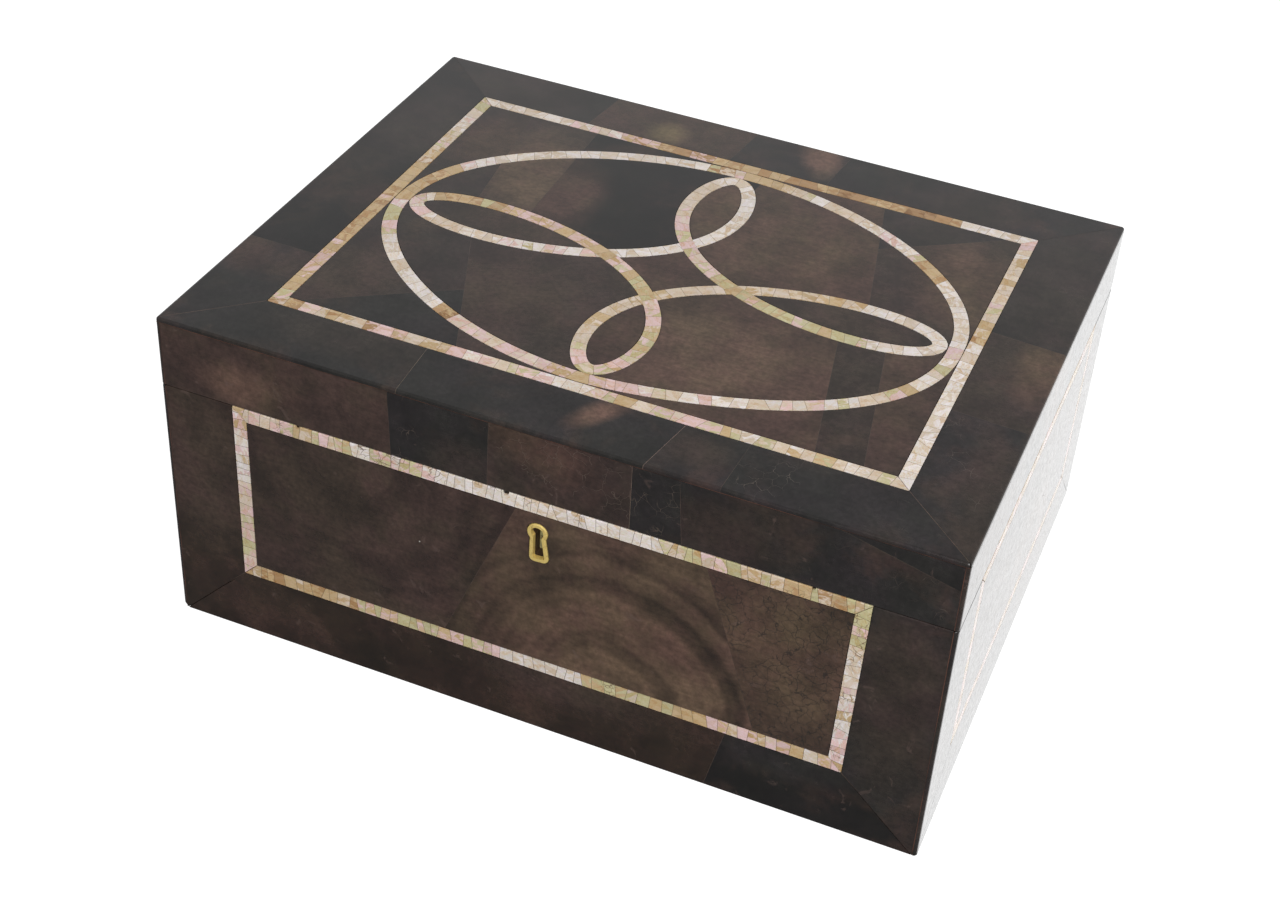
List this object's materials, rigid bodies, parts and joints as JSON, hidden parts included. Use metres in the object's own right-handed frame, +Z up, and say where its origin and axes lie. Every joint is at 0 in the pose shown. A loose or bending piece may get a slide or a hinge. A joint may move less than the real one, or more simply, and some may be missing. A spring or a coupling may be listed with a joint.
{
  "type": "decorative box",
  "caption": "Rectangular lidded keepsake box in dark lacquered shell veneer with flush pearl bands: a frame, an oval and a looped knot on the lid, frames on the walls, and a keyhole.",
  "frame": {"origin": "middle of the underside, on the surface the box stands on", "axes": "+Z up, front with the keyhole towards -Y, +X to the right seen from the front"},
  "size_m": [0.36, 0.2746, 0.164],
  "materials": {
    "stained_wood": "satin",
    "pen_shell": "gloss",
    "mother_of_pearl": "gloss",
    "brass": "satin",
    "lock_metal": "satin"
  },
  "bodies": {
    "root": {"base_floor_board": "stained_wood", "base_front_board": "stained_wood", "base_back_board": "stained_wood", "base_left_board": "stained_wood", "base_right_board": "stained_wood", "lid_top_board": "stained_wood", "lid_front_rail": "stained_wood", "lid_back_rail": "stained_wood", "lid_left_rail": "stained_wood", "lid_right_rail": "stained_wood", "lid_shell_front": "pen_shell", "lid_shell_right": "pen_shell", "lid_shell_back": "pen_shell", "lid_shell_left": "pen_shell", "lid_shell_field": "pen_shell", "lid_rim_shell_front": "pen_shell", "lid_rim_shell_right": "pen_shell", "lid_rim_shell_back": "pen_shell", "lid_rim_shell_left": "pen_shell", "front_shell_bottom": "pen_shell", "front_shell_right": "pen_shell", "front_shell_left": "pen_shell", "front_shell_field": "pen_shell", "right_shell_bottom": "pen_shell", "right_shell_back": "pen_shell", "right_shell_front": "pen_shell", "right_shell_field": "pen_shell", "left_shell_bottom": "pen_shell", "left_shell_front": "pen_shell", "left_shell_back": "pen_shell", "left_shell_field": "pen_shell", "back_shell": "pen_shell", "lid_pearl_front": "mother_of_pearl", "lid_pearl_right": "mother_of_pearl", "lid_pearl_back": "mother_of_pearl", "lid_pearl_left": "mother_of_pearl", "lid_pearl_oval": "mother_of_pearl", "lid_pearl_knot": "mother_of_pearl", "front_pearl_bottom": "mother_of_pearl", "front_pearl_right": "mother_of_pearl", "front_pearl_top": "mother_of_pearl", "front_pearl_left": "mother_of_pearl", "right_pearl_bottom": "mother_of_pearl", "right_pearl_back": "mother_of_pearl", "right_pearl_top": "mother_of_pearl", "right_pearl_front": "mother_of_pearl", "left_pearl_bottom": "mother_of_pearl", "left_pearl_front": "mother_of_pearl", "left_pearl_top": "mother_of_pearl", "left_pearl_back": "mother_of_pearl", "keyhole_escutcheon": "brass", "lock_case": "lock_metal", "lock_pin": "brass"}
  },
  "joints": []
}
